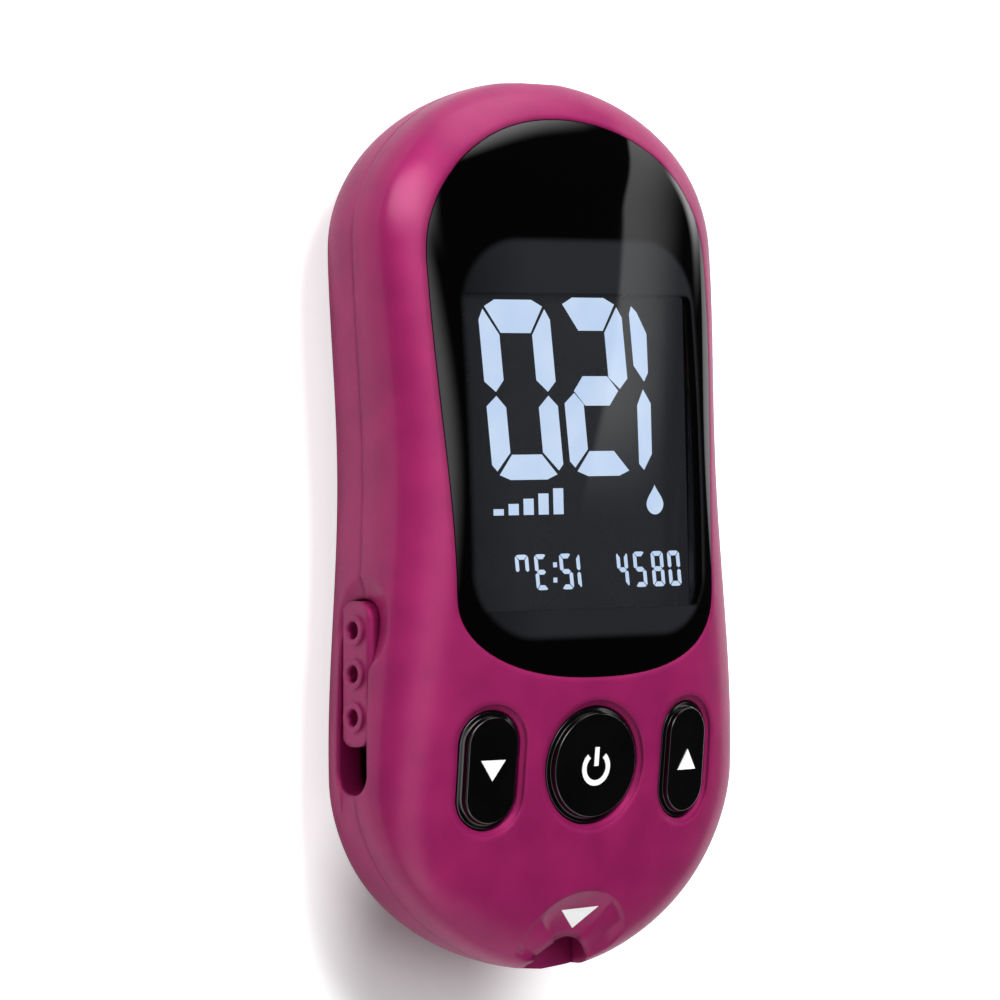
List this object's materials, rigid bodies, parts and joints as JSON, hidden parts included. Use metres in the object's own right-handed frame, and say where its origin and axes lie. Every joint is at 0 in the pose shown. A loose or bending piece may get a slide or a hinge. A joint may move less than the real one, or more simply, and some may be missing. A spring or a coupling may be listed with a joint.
{
  "type": "blood glucose meter",
  "caption": "Pocket blood glucose meter with waisted rounded case, flush dark window, three keys, side strip ejector and rear battery door.",
  "frame": {"origin": "middle of the flat back, on the surface that the meter lies on", "axes": "+X to the right of the display, +Y towards the display end, +Z out of the display"},
  "size_m": [0.0518, 0.1, 0.0228],
  "materials": {
    "case": "moulded magenta ABS with a pearl sheen and a fine satin texture",
    "window": "polished black acrylic with a clear dark area over the display",
    "key": "gloss black moulded key caps",
    "display": "dark negative liquid crystal glass",
    "black_part": "moulded black plastic",
    "light_guide": "white light guide",
    "elastomer": "grey silicone with carbon layers",
    "board": "green solder mask on glass laminate",
    "chip": "black moulding compound",
    "white_part": "natural white engineering plastic",
    "gilt": "gold plated leaf contacts",
    "steel": "nickel plated spring steel",
    "cell": "printed film on a steel can, bare ends"
  },
  "bodies": {
    "housing": {"front_shell": "case", "rear_shell": "case", "display_lens": "window", "lcd_panel": "display", "lcd_frame": "black_part", "backlight": "light_guide", "elastomer_strip": "elastomer", "main_board": "board", "board_parts": "chip", "board_screws": "steel", "tact_switches": "steel", "buzzer": "chip", "strip_connector": "white_part", "strip_contacts": "gilt", "ejector_spring": "steel", "battery_cells": "cell", "battery_contacts": "steel", "battery_springs": "steel", "housing_screws": "steel"},
    "set_key": {"set_button": "key"},
    "down_key": {"down_button": "key"},
    "up_key": {"up_button": "key"},
    "ejector": {"ejector_slider": "case", "ejector_arm": "white_part"},
    "door": {"battery_door": "case"}
  },
  "joints": [
    {"name": "set_press", "type": "slide", "parent": "housing", "child": "set_key", "axis": [0, 0, -1], "range_m": [0, 0.0004], "stiffness_N_per_m": 800, "springref_m": -0.0002},
    {"name": "down_press", "type": "slide", "parent": "housing", "child": "down_key", "axis": [0, 0, -1], "range_m": [0, 0.0004], "stiffness_N_per_m": 800, "springref_m": -0.0002},
    {"name": "up_press", "type": "slide", "parent": "housing", "child": "up_key", "axis": [0, 0, -1], "range_m": [0, 0.0004], "stiffness_N_per_m": 800, "springref_m": -0.0002},
    {"name": "ejector_slide", "type": "slide", "parent": "housing", "child": "ejector", "axis": [0, -1, 0], "range_m": [0, 0.0051], "stiffness_N_per_m": 150, "springref_m": -0.003, "deforming": ["ejector_spring"]},
    {"name": "door_hinge", "type": "hinge", "parent": "housing", "child": "door", "pos_m": [0, 0.0285, 0.00015], "axis": [1, 0, 0], "range_deg": [0, 60]}
  ]
}
